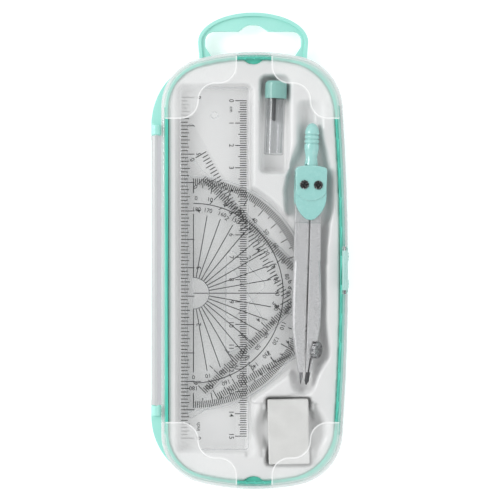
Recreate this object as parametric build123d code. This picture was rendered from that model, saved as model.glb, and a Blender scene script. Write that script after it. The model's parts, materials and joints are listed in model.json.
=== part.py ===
"""Drafting compass set in a hinged flat case.

A mint plastic base with a carrying handle holds a pale tray, a clear lid swings on the base's left
edge, and a flip latch on the lid's right edge holds it shut. The tray's pockets hold a stack of
two set squares, a protractor and a 15 cm ruler, a geared school compass, a tube of spare leads
and an eraser. Millimetres. X is across the case, Y points to the handle, Z is up. The origin is
the centre of the case's flat back.
"""

import math
import os

from build123d import *

os.makedirs("parts", exist_ok=True)

# ---- Case ----
CASE_RIGHT = 41.7  # the lid's widest point, on the latch side
CASE_LEFT = -41.2  # the lid's straight wall, on the hinge side
CASE_HALF_LENGTH = 96.9
SIDE_BOW_RADIUS = 1050.0
END_BOW_RADIUS = 100.0
CORNER_RADIUS = 24.0
LID_HINGE_CORNER_RADIUS = 22.0
BASE_HINGE_CORNER_RADIUS = 30.0
WALL = 1.3
FLOOR = 1.4
PART_Z = 8.4  # top of the base's outer wall
SEAM = 0.2
LIP_TOP_Z = 10.2
LIP_OUT = 1.55  # the lip stands this far inside the outline
LIP_IN = 2.85
RIM_RIGHT = 41.1  # the lip and the tray inside it keep further from the latch
RIM_CORNER_RADIUS = 26.0
LID_TOP_Z = 18.0
EDGE_ROUND = 1.8

# ---- Lid's frosted corners ----
PANEL_RISE = 0.15
RIB_RISE = 0.4
RIB_WIDTH = 0.6
WAIST_X = 7.6  # half the clear strip at the ends
SHOULDER_X = 24.5  # half the clear field between the corner panels
SHOULDER_Y = 82.6
PANEL_Y = 67.0
PANEL_RADII = (8.0, 7.4, 8.0)

# ---- Case hinge, along Y ----
HINGE_X = -43.75
HINGE_Z = 9.0
BARREL_RADIUS = 2.2
COLLAR_RADIUS = 2.35
COLLAR_LENGTH = 2.0
BARREL_HALF = 60.0
HINGE_GAP = 0.4
STUB_RADIUS = 1.2
STUB_BORE = 1.25
STUB_LENGTH = 2.6
BOSS_RADIUS = 2.1
BOSS_LENGTH = 4.4
WING_LEFT = -46.0

# ---- Latch, on the lid's right wall ----
LATCH_X = 40.2
LATCH_Z = 13.7
LATCH_HALF = 8.8
LATCH_WIDE = 10.2
LATCH_PIN_RADIUS = 0.6
LATCH_PIN_BORE = 0.65
LATCH_BARREL = 1.15
LATCH_PLATE = (40.4, 41.7)
LATCH_FOOT_Z = 3.2
LATCH_STEP_Z = 7.9  # the plate widens below this
LATCH_GAP = 0.3
EAR_THICK = 1.5
NOTCH_TOP_Z = 15.5
RECESS_X = 39.9
CATCH_REACH = 0.35
PAD_CENTRE_Y = 6.1
PAD_RIBS = 5
PAD_RIB_RADIUS = 0.55
PAD_RIB_PITCH = 1.35
PAD_REACH = 0.75

# ---- Handle ----
HANDLE_X = -0.5
HANDLE_SHOULDER_Y = 101.9  # below this the sides run down to the feet
HANDLE_SIZE = (24.7, 13.3)  # half width, and rise of the bow above the shoulders
HANDLE_FOOT_HALF = 23.6
HANDLE_Z = (3.0, 6.8)
HANDLE_RIM_Z = (2.4, 7.8)
HANDLE_RIM = 1.6
GRIP_BAR_Y = 106.8  # inner edge of the hand opening's top
GRIP_HALF = 21.4
GRIP_CORNER = 3.9
GRIP_FOOT_HALF = 17.4
HOOK_TOP_Y = 109.75
HOOK_HALF = 6.6
HOOK_FLAT = 2.6  # half width of the notch's top before it is rounded
HOOK_ROUND = 4.6
HOOK_FOOT_ROUND = 1.4

# ---- Tray ----
TRAY_INSET = 3.1
TRAY_BOTTOM_Z = 1.6
POCKET_FLOOR_Z = 2.4
HEAD_FLOOR_Z = 4.3
DECK_Z = 9.0
SHEET = 0.8
THUMB_NOTCH_RADIUS = 5.4
THUMB_NOTCH_DEPTH = 2.1
WELL_X = (-34.2, -1.2)
WELL_Y = (-80.9, 82.4)
WELL_CORNER = 2.2
ARC_ROOM = 1.4  # the well's arc stands this far outside the protractor
LEAD_POCKET = (3.0, 15.1, 43.9, 86.7)
ERASER_ROOM = 0.45
SCALLOP_X = (0.3, 30.4)
SCALLOP_HALF = (3.2, 9.0)  # at its ends, and where it meets the eraser's pocket
SCALLOP_Y = -71.2

# ---- Flat instruments, stacked in the tray from the bottom up ----
LAYER_GAP = 0.1
SET_SQUARE_THICK = 1.4
PROTRACTOR_THICK = 1.2
RULER_THICK = 1.9
SQUARE_60_Z = POCKET_FLOOR_Z + LAYER_GAP
SQUARE_45_Z = SQUARE_60_Z + SET_SQUARE_THICK + LAYER_GAP
PROTRACTOR_Z = SQUARE_45_Z + SET_SQUARE_THICK + LAYER_GAP
RULER_Z = PROTRACTOR_Z + PROTRACTOR_THICK + LAYER_GAP
RULER_SIZE = (30.6, 162.0)
RULER_CENTRE = (-17.8, 0.8)
RULER_BEVEL = (5.6, 0.9)  # width and drop of the bevel along each long edge
RULER_HOLE_Y = 69.3
RULER_HOLE_RADIUS = 1.3
PROTRACTOR_CENTRE = (-27.2, -10.3)
PROTRACTOR_RADIUS = 52.6
PROTRACTOR_HEEL = 3.6  # plastic beyond the base line
PROTRACTOR_WINDOW = 6.7
SQUARE_60_TOP = (-30.2, 70.6)
SQUARE_60_LONG = 138.3  # hypotenuse
SQUARE_45_TOP = (-31.2, 53.4)
SQUARE_45_LONG = 120.0
SQUARE_60_BAND = (17.5, 17.0)  # width beside the hypotenuse and beside the two legs
SQUARE_45_BAND = (18.9, 16.5)
SQUARE_CORNER = 1.8
WINDOW_CORNER = 2.0

# ---- Eraser and lead tube ----
ERASER_SIZE = (18.2, 28.8, 9.5)
ERASER_CENTRE = (15.3, -71.9)
ERASER_TURN = 1.2
ERASER_ROUND = 0.7
TUBE_RADIUS = 4.4
TUBE_BORE = 3.6
TUBE_NECK = 3.9  # the part inside the cap
TUBE_COLLAR = 4.7
CAP_RADIUS = 4.9
CAP_BORE = 4.0
CAP_LENGTH = 7.8
CAP_FLUTES = 16
TUBE_TOP = (9.9, 84.5)  # centre of the cap's end
TUBE_LENGTH = 33.0  # cap and tube
TUBE_LEAN = -2.2
TUBE_Z = POCKET_FLOOR_Z + LAYER_GAP + CAP_RADIUS
LEAD_RADIUS = 0.9
SPARE_LEAD = (2.4, 15.2, -0.6)  # distance from the cap's end, length, place across the tube

# ---- Compass, in its own frame: the pivots lie on X, and the legs point down -Y ----
COMPASS_PLACE = (25.1, 38.0, 9.25)
COMPASS_LEAN = -1.8
COMPASS_ROLL = 4.0  # about its long axis, with the left leg the higher one
PIVOT_HALF = 3.1
PIVOT_RADIUS = 1.25
PIVOT_BORE = 1.29
SCREW_HEAD = (2.0, 0.5)  # radius and height
EYE_HALF_THICK = 1.7
LEG_HALF_THICK = 2.25
THICK_FROM_Y = -16.9  # the legs are thin above this, between the head's two halves
COVER_IN = 1.8
COVER_OUT = 4.2
HEAD_HALF = 7.0
HEAD_TOP_Y = 8.8
HEAD_WAIST_Y = -5.2
CHIN_Y = -15.6
CHEEK = (5.6, -11.0)
JAW = (3.0, -14.25)  # where the cheeks meet the blunt chin
BROW = (0.6, 7.7, 0.55)  # centre height, radius and depth of the thumb hollow below the screws
BRIDGE_Y = 3.9  # above this the two halves meet
LEG_INNER = 0.38
LEG_END = -83.5
GEAR_TEETH = 10
GEAR_ADDENDUM = 0.46
GEAR_DEDENDUM = 0.62
GEAR_BACKLASH = 0.16
PRESSURE_ANGLE = 25.0
GRIP_RADIUS = 3.25
GRIP_NECK = 2.6
GRIP_GROOVE = 2.8
GRIP_RINGS_Y = 16.9
GRIP_RING_PITCH = 1.95
GRIP_TOP_Y = 27.7
TENON_RADIUS = 1.7
NEEDLE_X = -1.6
NEEDLE_RADIUS = 0.8
TIP_Y = -89.2
CLAMP_PLACE = (3.9, -73.4)
CLAMP_TURN = -7.0  # the clamp screw's axis, from +X, in the compass's plane
CLAMP_TILT = 35.0  # and its rise out of that plane
SLIT_TURN = -7.0  # the slit and the lead between its jaws, from +Y
FACET_Y = -62.0  # below this the legs thin towards their ends
END_HALF_THICK = 1.75
EDGE_BEVEL = (1.1, 0.8)  # inwards and down, along each leg's outer edge
CLAMP_THREAD = 1.0
CLAMP_BORE = 1.04
CLAMP_KNOB = (3.7, 2.4)  # radius and length
CLAMP_FLUTES = 18
CLAMP_SHANK = (-2.0, 0.4)
SLIT = 0.6
JAW_X = 1.5  # the lead's place in the end of its leg
COMPASS_LEAD_RADIUS = 1.0
NEEDLE_LEG_EDGE = (  # outer corners as distances from the middle and places along Y
    (6.5, -16.0),
    (6.4, -34.0),
    (6.6, -46.0),
    (6.5, -60.0),
    (6.1, -66.0),
    (3.0, LEG_END),
)
LEAD_LEG_EDGE = (
    (4.9, -16.0),
    (5.4, -34.0),
    (6.4, -50.0),
    (6.3, -62.0),
    (5.3, -70.0),
    (2.62, LEG_END),
)


def prism(sketch, low, high):
    """A sketch on the XY plane, extruded between two heights."""
    return Pos(0, 0, low) * extrude(sketch, amount=high - low)


def block(x, y, z):
    """A box between pairs of limits."""
    size = Box(x[1] - x[0], y[1] - y[0], z[1] - z[0])
    return Pos(sum(x) / 2, sum(y) / 2, sum(z) / 2) * size


def rod_y(radius, x, z, y):
    """A cylinder along Y between two limits."""
    return Pos(x, sum(y) / 2, z) * Rot(90, 0, 0) * Cylinder(radius, y[1] - y[0])


def polygon(*points):
    """A face with straight sides, counter-clockwise or clockwise."""
    return make_face(Polyline(*points, close=True))


def turned(profile):
    """A solid of revolution along Y from (radius, y) points; both ends lie on the axis."""
    face = make_face(Polyline(*profile, close=True))
    return revolve(face, Axis.Y)


def outline(left, left_radius, right, right_radius, inset=0.0):
    """The case's outline, moved inwards: bowed ends, one bowed side, one straight side."""
    low, high = left + inset, right - inset
    face = Pos((low + high) / 2, 0) * Rectangle(high - low, 2 * CASE_HALF_LENGTH + 10)
    face &= Pos(right - SIDE_BOW_RADIUS, 0) * Circle(SIDE_BOW_RADIUS - inset)
    drop = END_BOW_RADIUS - CASE_HALF_LENGTH
    face &= Pos(0, -drop) * Circle(END_BOW_RADIUS - inset)
    face &= Pos(0, drop) * Circle(END_BOW_RADIUS - inset)
    latch_side = [v for v in face.vertices() if v.X > 0]
    face = fillet(latch_side, right_radius - inset)
    hinge = [v for v in face.vertices() if v.X < low + 1e-3]
    return fillet(hinge, left_radius - inset)


def case(inset=0.0):
    """The lid's outline, moved inwards."""
    return outline(CASE_LEFT, LID_HINGE_CORNER_RADIUS, CASE_RIGHT, CORNER_RADIUS, inset)


def rim(inset):
    """The outline that the base's lip and the tray follow, moved inwards."""
    return outline(CASE_LEFT, LID_HINGE_CORNER_RADIUS, RIM_RIGHT, RIM_CORNER_RADIUS, inset)


def corner_panel():
    """One frosted corner of the lid, reaching past the case's outline."""
    far_x, far_y = 60.0, 120.0
    path = FilletPolyline(
        (far_x, PANEL_Y),
        (SHOULDER_X, PANEL_Y),
        (SHOULDER_X, SHOULDER_Y),
        (WAIST_X, SHOULDER_Y),
        (WAIST_X, far_y),
        radius=list(PANEL_RADII),
    )
    closing = Polyline((WAIST_X, far_y), (far_x, far_y), (far_x, PANEL_Y))
    return make_face(path + closing)


def make_lid():
    """Clear lid: a tray turned over, four frosted corners, a hinge barrel and the latch's ears."""
    shell = prism(case(), PART_Z + SEAM, LID_TOP_Z)
    crown = shell.edges().filter_by(lambda e: e.center().Z > LID_TOP_Z - 1e-3)
    shell = fillet(crown, EDGE_ROUND)
    cavity = prism(case(WALL), PART_Z, LID_TOP_Z - WALL)
    roof = cavity.edges().filter_by(lambda e: e.center().Z > LID_TOP_Z - WALL - 1e-3)
    shell -= fillet(roof, EDGE_ROUND - 0.8)
    panel = corner_panel()
    inner = offset(panel, amount=-RIB_WIDTH)
    top = case(EDGE_ROUND + 0.1)
    low = LID_TOP_Z - 0.2
    for flip_x in (False, True):
        for flip_y in (False, True):
            field, core = panel, inner
            if flip_x:
                field, core = mirror(field, Plane.YZ), mirror(core, Plane.YZ)
            if flip_y:
                field, core = mirror(field, Plane.XZ), mirror(core, Plane.XZ)
            shell += prism(core & top, low, LID_TOP_Z + PANEL_RISE)
            shell += prism((field - core) & top, low, LID_TOP_Z + RIB_RISE)
    # Hinge barrel with a collar and a stub at each end, on a web that joins it to the wall.
    shell += rod_y(BARREL_RADIUS, HINGE_X, HINGE_Z, (-BARREL_HALF, BARREL_HALF))
    web_z = (HINGE_Z - 0.3, HINGE_Z + 2.0)
    shell += block((HINGE_X, CASE_LEFT + 0.6), (-BARREL_HALF, BARREL_HALF), web_z)
    for end in (-1, 1):
        collar = sorted((end * (BARREL_HALF - COLLAR_LENGTH), end * BARREL_HALF))
        shell += rod_y(COLLAR_RADIUS, HINGE_X, HINGE_Z, collar)
        stub = sorted((end * (BARREL_HALF - 1), end * (BARREL_HALF + STUB_LENGTH)))
        shell += rod_y(STUB_RADIUS, HINGE_X, HINGE_Z, stub)
    # Notch for the latch, with an ear at each side.
    ear_in = LATCH_HALF + LATCH_GAP
    ear_out = ear_in + EAR_THICK
    for end in (-1, 1):
        ear_y = sorted((end * ear_in, end * ear_out))
        shell += block((LATCH_X - 1.3, CASE_RIGHT - 0.6), ear_y, (12.2, NOTCH_TOP_Z + 0.4))
    notch_x = (LATCH_X - 1.3, CASE_RIGHT + 1)
    shell -= block(notch_x, (-ear_in, ear_in), (PART_Z, NOTCH_TOP_Z))
    wide = LATCH_WIDE + LATCH_GAP
    shell -= block(notch_x, (-wide, wide), (PART_Z, LATCH_STEP_Z + 1.2))
    shell -= rod_y(LATCH_PIN_BORE, LATCH_X, LATCH_Z, (-ear_out, ear_out))
    return shell


def handle_face(inset=0.0):
    """The handle's outline: a half ellipse on slightly converging sides, moved inwards."""
    half, rise = HANDLE_SIZE[0] - inset, HANDLE_SIZE[1] - inset
    low = CASE_HALF_LENGTH - 8
    slope = (HANDLE_SIZE[0] - HANDLE_FOOT_HALF) / (HANDLE_SHOULDER_Y - low)
    foot = half - slope * (HANDLE_SHOULDER_Y - low)
    bow = Pos(HANDLE_X, HANDLE_SHOULDER_Y) * Ellipse(half, rise)
    legs = polygon(
        (HANDLE_X - half, HANDLE_SHOULDER_Y),
        (HANDLE_X + half, HANDLE_SHOULDER_Y),
        (HANDLE_X + foot, low),
        (HANDLE_X - foot, low),
    )
    return (bow & (Pos(HANDLE_X, HANDLE_SHOULDER_Y + 20) * Rectangle(60, 40))) + legs


def hand_opening():
    """The hole that fingers or a peg go through, with a raised middle for hanging."""
    foot = CASE_HALF_LENGTH - 3
    face = polygon(
        (HANDLE_X - GRIP_FOOT_HALF, foot),
        (HANDLE_X - GRIP_HALF, 99.9),
        (HANDLE_X - GRIP_HALF, GRIP_BAR_Y),
        (HANDLE_X - HOOK_HALF, GRIP_BAR_Y),
        (HANDLE_X - HOOK_FLAT, HOOK_TOP_Y),
        (HANDLE_X + HOOK_FLAT, HOOK_TOP_Y),
        (HANDLE_X + HOOK_HALF, GRIP_BAR_Y),
        (HANDLE_X + GRIP_HALF, GRIP_BAR_Y),
        (HANDLE_X + GRIP_HALF, 99.9),
        (HANDLE_X + GRIP_FOOT_HALF, foot),
    )
    sides = face.vertices().filter_by(lambda v: abs(v.Y - 99.9) < 1)
    face = fillet(sides, 2.5)
    tops = face.vertices().filter_by(
        lambda v: v.Y > GRIP_BAR_Y - 0.1 and abs(v.X - HANDLE_X) > GRIP_HALF - 1
    )
    face = fillet(tops, GRIP_CORNER)
    hook = face.vertices().filter_by(lambda v: v.Y > HOOK_TOP_Y - 0.1)
    face = fillet(hook, HOOK_ROUND)
    feet = face.vertices().filter_by(
        lambda v: abs(v.Y - GRIP_BAR_Y) < 0.1 and abs(abs(v.X - HANDLE_X) - HOOK_HALF) < 0.1
    )
    return fillet(feet, HOOK_FOOT_ROUND)


def make_base():
    """Mint base: floor, wall with an inner lip, hinge wing, handle and the latch's recess."""
    foot = outline(WING_LEFT, BASE_HINGE_CORNER_RADIUS, CASE_RIGHT, CORNER_RADIUS)
    body = prism(foot, 0, PART_Z)
    body += prism(rim(LIP_OUT), FLOOR, LIP_TOP_Z)
    body -= prism(rim(LIP_IN), FLOOR, LIP_TOP_Z + 1)
    # Handle: a flat bar with a raised rim around its outside.
    plate = handle_face()
    handle = prism(plate, *HANDLE_Z) + prism(plate - handle_face(HANDLE_RIM), *HANDLE_RIM_Z)
    handle -= prism(hand_opening(), -1, PART_Z + 1)
    body += handle - prism(case(0.5), -1, PART_Z + 1)
    # Trough for the hinge barrel, with a bossed bracket at each end.
    end_y = BARREL_HALF + HINGE_GAP
    trough_z = HINGE_Z - COLLAR_RADIUS - HINGE_GAP
    body -= block((WING_LEFT - 1, CASE_LEFT + 0.2), (-end_y, end_y), (trough_z, PART_Z + 1))
    for end in (-1, 1):
        boss_y = sorted((end * end_y, end * (end_y + BOSS_LENGTH)))
        boss = rod_y(BOSS_RADIUS, HINGE_X, HINGE_Z, boss_y)
        boss += block((HINGE_X - BOSS_RADIUS, HINGE_X + BOSS_RADIUS), boss_y, (5.0, HINGE_Z))
        body += boss
        bore_y = sorted((end * (end_y - 1), end * (end_y + STUB_LENGTH)))
        body -= rod_y(STUB_BORE, HINGE_X, HINGE_Z, bore_y)
    # Recess for the latch, with a low catch that its foot rests behind.
    wide = LATCH_WIDE + LATCH_GAP
    body -= block((RECESS_X, CASE_RIGHT + 1), (-wide, wide), (LATCH_FOOT_Z - LATCH_GAP, LIP_TOP_Z))
    catch_z = (6.2, 7.0)
    body += block((RECESS_X - 0.4, RECESS_X + CATCH_REACH), (-4.5, 4.5), catch_z)
    return body


def make_latch():
    """Mint flip latch: a barrel on the pin, a flush plate, a wider foot and two ribbed pads."""
    x_in, x_out = LATCH_PLATE
    latch = rod_y(LATCH_BARREL, LATCH_X, LATCH_Z, (-LATCH_HALF, LATCH_HALF))
    latch += block((x_in, x_out), (-LATCH_HALF, LATCH_HALF), (LATCH_STEP_Z, LATCH_Z))
    foot = block((x_in, x_out), (-LATCH_WIDE, LATCH_WIDE), (LATCH_FOOT_Z, LATCH_STEP_Z))
    corners = foot.edges().filter_by(Axis.X)
    latch += fillet(corners, 1.0)
    latch -= rod_y(LATCH_PIN_BORE, LATCH_X, LATCH_Z, (-LATCH_WIDE, LATCH_WIDE))
    pad_z = (LATCH_FOOT_Z + 0.4, LATCH_STEP_Z - 0.3)
    for side in (-1, 1):
        half = PAD_RIB_PITCH * (PAD_RIBS - 1) / 2 + PAD_RIB_RADIUS
        centre = side * PAD_CENTRE_Y
        latch += block((x_out - 0.2, x_out + 0.3), (centre - half, centre + half), pad_z)
        for rib in range(PAD_RIBS):
            along = (rib - (PAD_RIBS - 1) / 2) * PAD_RIB_PITCH
            crown = PAD_REACH - PAD_RIB_RADIUS - 0.06 * along * along
            place = Pos(x_out + crown, centre + along, sum(pad_z) / 2)
            latch += place * Cylinder(PAD_RIB_RADIUS, pad_z[1] - pad_z[0])
    return latch


def make_latch_pin():
    """Steel pin through the lid's ears and the latch."""
    half = LATCH_HALF + LATCH_GAP + EAR_THICK - 0.1
    return rod_y(LATCH_PIN_RADIUS, LATCH_X, LATCH_Z, (-half, half))


def grown_polygon(points, grow):
    """A polygon moved outwards, with its sharp corners kept."""
    face = polygon(*points)
    return offset(face, amount=grow, kind=Kind.INTERSECTION) if grow else face


def well(grow=0.0):
    """The pocket for the flat instruments and the compass's legs."""
    x0, x1 = WELL_X[0] - grow, WELL_X[1] + grow
    y0, y1 = WELL_Y[0] - grow, WELL_Y[1] + grow
    strip = Pos((x0 + x1) / 2, (y0 + y1) / 2) * RectangleRounded(x1 - x0, y1 - y0, WELL_CORNER)
    reach = PROTRACTOR_RADIUS + ARC_ROOM + grow
    disc = Pos(*PROTRACTOR_CENTRE) * Circle(reach)
    disc &= Pos(5, -10) * Rectangle(46, 130)
    lower = ((-10, 0), (22, 12), (22, -30), (19.4, -43.2), (-1.4, -57.9), (-10, -57.9))
    return strip + disc + grown_polygon(lower, grow)


def rounded_polygon(points, grow, radius):
    """A polygon with its corners rounded, then moved outwards."""
    face = grown_polygon(points, grow)
    return fillet(face.vertices(), radius)


def compass_pocket(grow=0.0):
    """The pocket for the compass's legs, from the head down to the tips."""
    points = (
        (14.6, 19.0),
        (32.4, 19.0),
        (31.0, 8.0),
        (30.9, -23.0),
        (32.3, -32.8),
        (32.3, -38.6),
        (28.0, -45.2),
        (25.2, -53.0),
        (22.6, -55.0),
        (20.2, -54.8),
        (17.9, -51.6),
        (16.2, -44.0),
        (14.0, -30.0),
    )
    return rounded_polygon(points, grow, 1.0)


def head_pocket(grow=0.0):
    """The shallower pocket for the compass's head and grip."""
    points = (
        (16.6, 15.0),
        (14.2, 26.0),
        (13.8, 36.0),
        (16.4, 47.6),
        (20.4, 56.4),
        (20.9, 74.9),
        (29.2, 74.9),
        (29.3, 59.6),
        (32.0, 51.4),
        (34.0, 40.0),
        (33.9, 27.0),
        (31.8, 15.0),
    )
    return rounded_polygon(points, grow, 1.6)


def side_pockets(grow=0.0):
    """The pockets for the lead tube and for the eraser, which has finger scallops."""
    x0, x1, y0, y1 = LEAD_POCKET
    lead = Pos((x0 + x1) / 2, (y0 + y1) / 2)
    lead *= RectangleRounded(x1 - x0 + 2 * grow, y1 - y0 + 2 * grow, 2.4 + grow)
    width = ERASER_SIZE[0] + 0.6 + 2 * (ERASER_ROOM + grow)
    length = ERASER_SIZE[1] + 0.2 + 2 * (ERASER_ROOM + grow)
    eraser = Pos(*ERASER_CENTRE) * RectangleRounded(width, length, 0.8 + grow)
    left, right = SCALLOP_X
    end, wide = SCALLOP_HALF
    inner = (ERASER_CENTRE[0] - 10, ERASER_CENTRE[0] + 10)
    points = [(left, -end), (inner[0], -wide), (inner[1], -wide), (right, -end)]
    points += [(x, -y) for x, y in reversed(points)]
    scallops = rounded_polygon([(x, y + SCALLOP_Y) for x, y in points], grow, 2.4)
    return lead + eraser + scallops


def tray_outline(grow=0.0):
    """The tray's edge, with a thumb notch at each end."""
    face = rim(TRAY_INSET - grow)
    reach = CASE_HALF_LENGTH - TRAY_INSET - THUMB_NOTCH_DEPTH + THUMB_NOTCH_RADIUS
    for end in (-1, 1):
        face -= Pos(-0.3, end * reach) * Circle(THUMB_NOTCH_RADIUS - grow)
    return face


def make_tray():
    """Pale formed tray: a deck, a skirt and pockets of one sheet thickness."""
    deep = well() + compass_pocket() + side_pockets()
    shelf = head_pocket() - well() - compass_pocket()
    tray = prism(tray_outline(), TRAY_BOTTOM_Z, DECK_Z)
    tray -= prism(deep, POCKET_FLOOR_Z, DECK_Z + 1)
    tray -= prism(shelf, HEAD_FLOOR_Z, DECK_Z + 1)
    walls = well(SHEET) + compass_pocket(SHEET) + side_pockets(SHEET) + head_pocket(SHEET)
    under = tray_outline(-SHEET) - walls
    return tray - prism(under, TRAY_BOTTOM_Z - 1, DECK_Z - SHEET)


def make_ruler():
    """Clear 15 cm ruler with a bevel along each scale and a hanging hole."""
    width, length = RULER_SIZE
    bevel, drop = RULER_BEVEL
    half = width / 2
    section = polygon(
        (-half, 0),
        (half, 0),
        (half, RULER_THICK - drop),
        (half - bevel, RULER_THICK),
        (bevel - half, RULER_THICK),
        (-half, RULER_THICK - drop),
    )
    bar = extrude(Plane.XZ * section, amount=length / 2, both=True)
    bar = Pos(RULER_CENTRE[0], RULER_CENTRE[1], RULER_Z) * bar
    corners = bar.edges().filter_by(Axis.Z)
    bar = fillet(corners, 1.5)
    hole = Pos(RULER_CENTRE[0], RULER_HOLE_Y, RULER_Z) * Cylinder(RULER_HOLE_RADIUS, 9)
    return bar - hole


def make_protractor():
    """Clear half-round protractor with a straight heel and a small half-round window."""
    disc = Circle(PROTRACTOR_RADIUS)
    face = disc & (Pos(PROTRACTOR_RADIUS / 2, 0) * Rectangle(PROTRACTOR_RADIUS, 200))
    heel = Pos(-PROTRACTOR_HEEL / 2, 0) * Rectangle(PROTRACTOR_HEEL, 2 * PROTRACTOR_RADIUS)
    face += heel
    face = fillet(face.vertices().filter_by(lambda v: v.X < -1), 2.0)
    window = Circle(PROTRACTOR_WINDOW) & (Pos(10, 0) * Rectangle(20, 40))
    face -= window
    return Pos(*PROTRACTOR_CENTRE, 0) * prism(face, PROTRACTOR_Z, PROTRACTOR_Z + PROTRACTOR_THICK)


def make_set_square(top, long_side, angle, bands, z):
    """Clear set square: its long side runs down -Y from the top, its right angle points to +X.

    The angle is the one at the top. The window's sides are set in from the long side by the first
    band and from the two short sides by the second.
    """
    turn = math.radians(angle)
    upper = long_side * math.cos(turn)
    right = (upper * math.sin(turn), -upper * math.cos(turn))
    long_band, short_band = bands
    # The window is a smaller triangle of the same shape, so one offset along each side places it.
    top_in = -(long_band / math.tan(turn) + short_band / math.sin(turn))
    other = math.pi / 2 - turn
    low_in = -long_side + long_band / math.tan(other) + short_band / math.sin(other)
    inner = (top_in - low_in) * math.cos(turn)
    corner = (long_band + inner * math.sin(turn), top_in - inner * math.cos(turn))
    plate = polygon((0, 0), (0, -long_side), right)
    plate = fillet(plate.vertices(), SQUARE_CORNER)
    window = polygon((long_band, top_in), (long_band, low_in), corner)
    plate -= fillet(window.vertices(), WINDOW_CORNER)
    return Pos(top[0], top[1], 0) * prism(plate, z, z + SET_SQUARE_THICK)


def make_eraser():
    """Plain block eraser with softened edges."""
    bar = Box(*ERASER_SIZE)
    bar = fillet(bar.edges(), ERASER_ROUND)
    z = POCKET_FLOOR_Z + LAYER_GAP + ERASER_SIZE[2] / 2
    return Pos(ERASER_CENTRE[0], ERASER_CENTRE[1], z) * Rot(0, 0, ERASER_TURN) * bar


def place_tube(solid):
    """From the tube's own frame, with the cap's end at its origin, to its place in the tray."""
    return Pos(TUBE_TOP[0], TUBE_TOP[1], TUBE_Z) * Rot(0, 0, TUBE_LEAN) * solid


def make_lead_tube():
    """Clear tube with a closed foot, a collar under the cap and a neck inside it."""
    seat = -CAP_LENGTH - 0.2
    tube = turned(
        (
            (0, -TUBE_LENGTH),
            (TUBE_RADIUS - 0.6, -TUBE_LENGTH),
            (TUBE_RADIUS, -TUBE_LENGTH + 0.6),
            (TUBE_RADIUS, seat - 1.4),
            (TUBE_COLLAR, seat - 1.4),
            (TUBE_COLLAR, seat),
            (TUBE_NECK, seat),
            (TUBE_NECK, -1.6),
            (TUBE_BORE, -1.6),
            (TUBE_BORE, -TUBE_LENGTH + 1.0),
            (0, -TUBE_LENGTH + 1.0),
        )
    )
    return place_tube(tube)


def make_cap():
    """Mint cap with fluted sides, over the tube's neck."""
    cap = turned(
        (
            (0, 0),
            (CAP_RADIUS - 0.9, 0),
            (CAP_RADIUS - 0.1, -0.9),
            (CAP_RADIUS - 0.1, -CAP_LENGTH),
            (CAP_BORE, -CAP_LENGTH),
            (CAP_BORE, -1.2),
            (0, -1.2),
        )
    )
    for flute in range(CAP_FLUTES):
        ridge = Pos(CAP_RADIUS - 0.25, -CAP_LENGTH / 2 - 0.4, 0) * Rot(90, 0, 0)
        ridge *= Cylinder(0.25, CAP_LENGTH - 2.4)
        cap += Rot(0, 360 * flute / CAP_FLUTES, 0) * ridge
    return place_tube(cap)


def make_spare_lead():
    """A short lead that lies on the tube's bore."""
    start, length, across = SPARE_LEAD
    rest = TUBE_BORE - LEAD_RADIUS - 0.02
    down = -math.sqrt(rest**2 - across**2)
    lead = Pos(across, -start - length / 2, down) * Rot(90, 0, 0) * Cylinder(LEAD_RADIUS, length)
    return place_tube(lead)


def place_compass(solid):
    """From the compass's own frame to its place in the tray."""
    return Pos(*COMPASS_PLACE) * Rot(0, 0, COMPASS_LEAN) * Rot(0, COMPASS_ROLL, 0) * solid


def involute_half_angle(radius):
    """Half the angle that a tooth fills at a radius."""
    pressure = math.radians(PRESSURE_ANGLE)
    base = PIVOT_HALF * math.cos(pressure)
    here = math.acos(min(1.0, base / radius))
    spread = math.tan(here) - here - (math.tan(pressure) - pressure)
    half = math.pi / (2 * GEAR_TEETH) - GEAR_BACKLASH / (2 * PIVOT_HALF)
    return half - spread


def gear_face(phase):
    """Gear with involute teeth, whose first tooth points phase degrees from +X."""
    base = PIVOT_HALF * math.cos(math.radians(PRESSURE_ANGLE))
    tip = PIVOT_HALF + GEAR_ADDENDUM
    root = PIVOT_HALF - GEAR_DEDENDUM
    flank = [root] + [base + (tip - base) * step / 4 for step in range(5)]
    points = []
    for tooth in range(GEAR_TEETH):
        middle = math.radians(phase) + 2 * math.pi * tooth / GEAR_TEETH
        for side, radii in ((-1, flank), (1, flank[::-1])):
            for radius in radii:
                turn = middle + side * involute_half_angle(max(radius, base))
                points.append((radius * math.cos(turn), radius * math.sin(turn)))
    return polygon(*points)


def edge_bevel(start, end, side):
    """The two wedges that bevel a leg's outer edge between two of its corners."""
    inward, down = EDGE_BEVEL
    along = math.hypot(end[0] - start[0], end[1] - start[1])
    turn = math.degrees(math.atan2(start[0] - end[0], start[1] - end[1]))
    top = LEG_HALF_THICK
    section = polygon(
        (side, top + 0.5),
        (side, top - down),
        (0, top - down),
        (-side * inward, top),
        (-side * inward, top + 0.5),
    )
    wedge = extrude(Plane.XZ * section, amount=along + 0.6)
    wedge += mirror(wedge, Plane.XY)
    return Pos(start[0], start[1] + 0.3, 0) * Rot(0, 0, -turn) * wedge


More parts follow.
